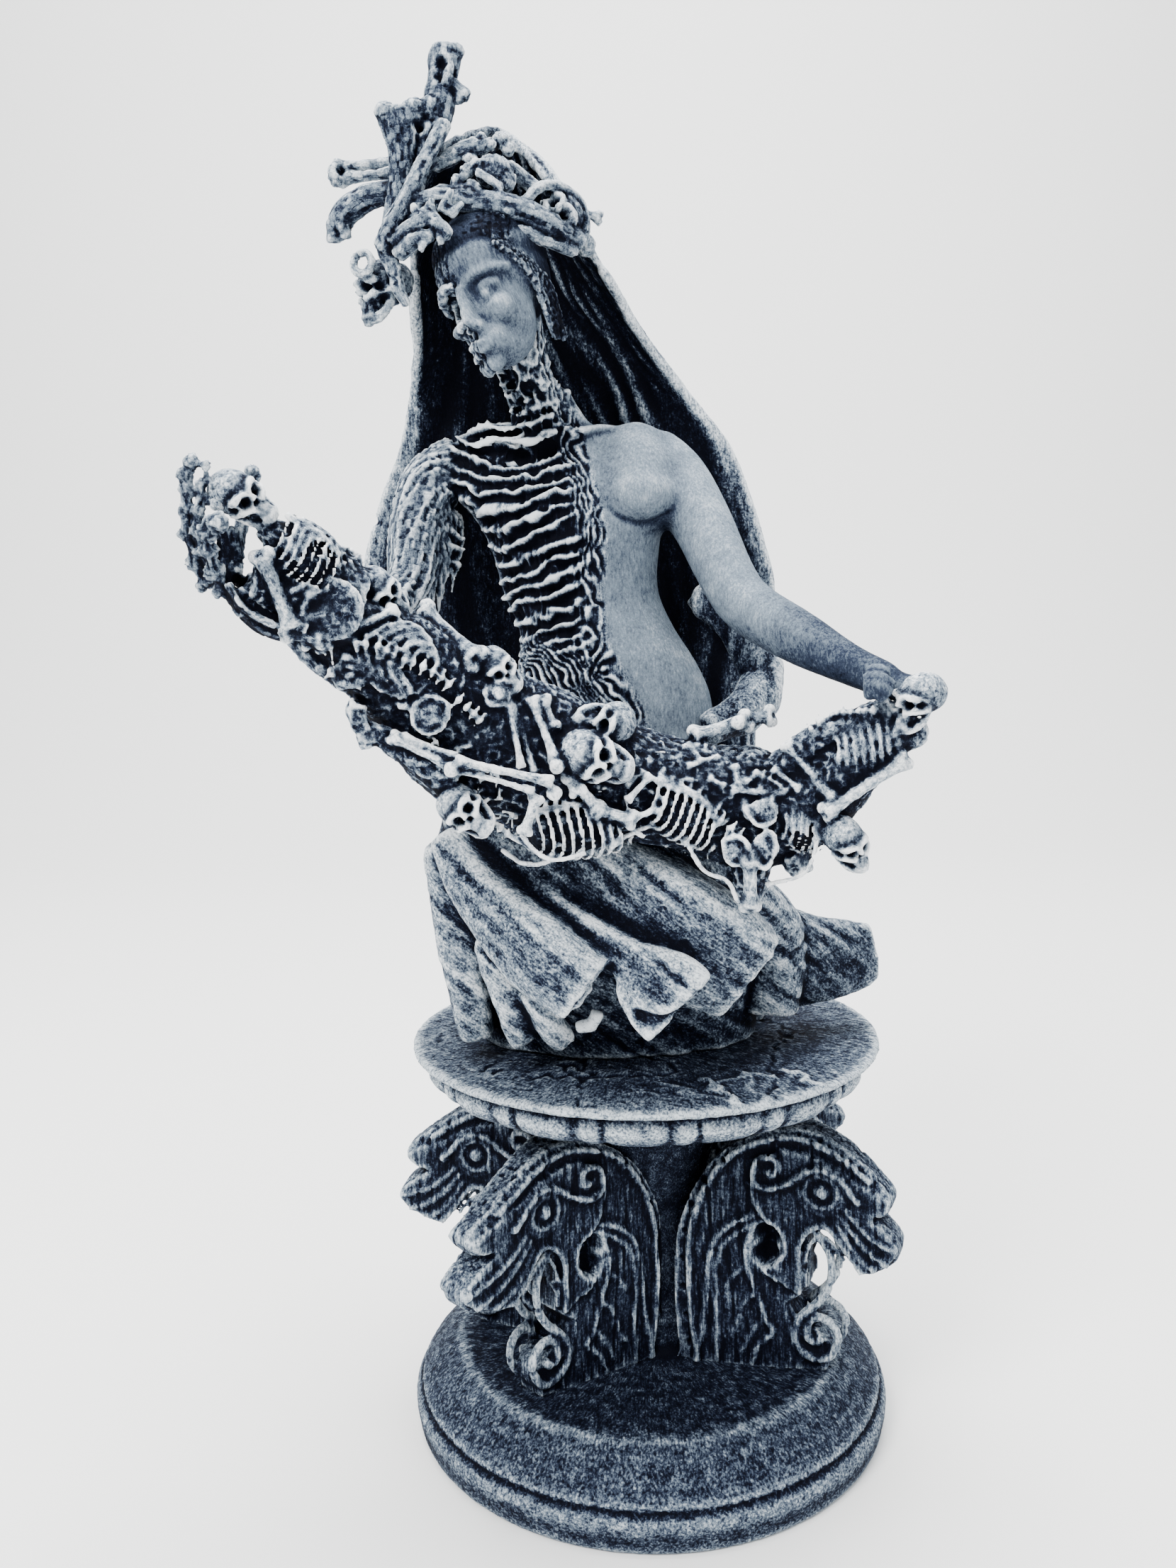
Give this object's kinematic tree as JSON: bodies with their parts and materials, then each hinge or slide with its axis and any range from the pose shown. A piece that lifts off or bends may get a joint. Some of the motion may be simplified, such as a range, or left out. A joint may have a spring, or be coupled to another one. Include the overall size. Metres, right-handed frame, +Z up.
{
  "type": "goddess statue",
  "caption": "Cast resin statue of a veiled, half-skeletal goddess holding a shroud of bones, on a round plinth with a beast-head capital.",
  "frame": {"origin": "centre of the plinth's flat underside", "axes": "+Z up along the plinth's axis; the figure faces -Y; +X is towards its left hand, the living arm"},
  "size_m": [0.1664, 0.1568, 0.3546],
  "materials": {
    "dark_resin": "near-black blue resin, matt, dry-brushed pale grey on raised parts",
    "brushed_resin": "near-black blue resin, matt, heavily dry-brushed pale blue-grey, almost white on the bones"
  },
  "bodies": {
    "root": {"plinth": "dark_resin", "figure": "brushed_resin"}
  },
  "joints": []
}
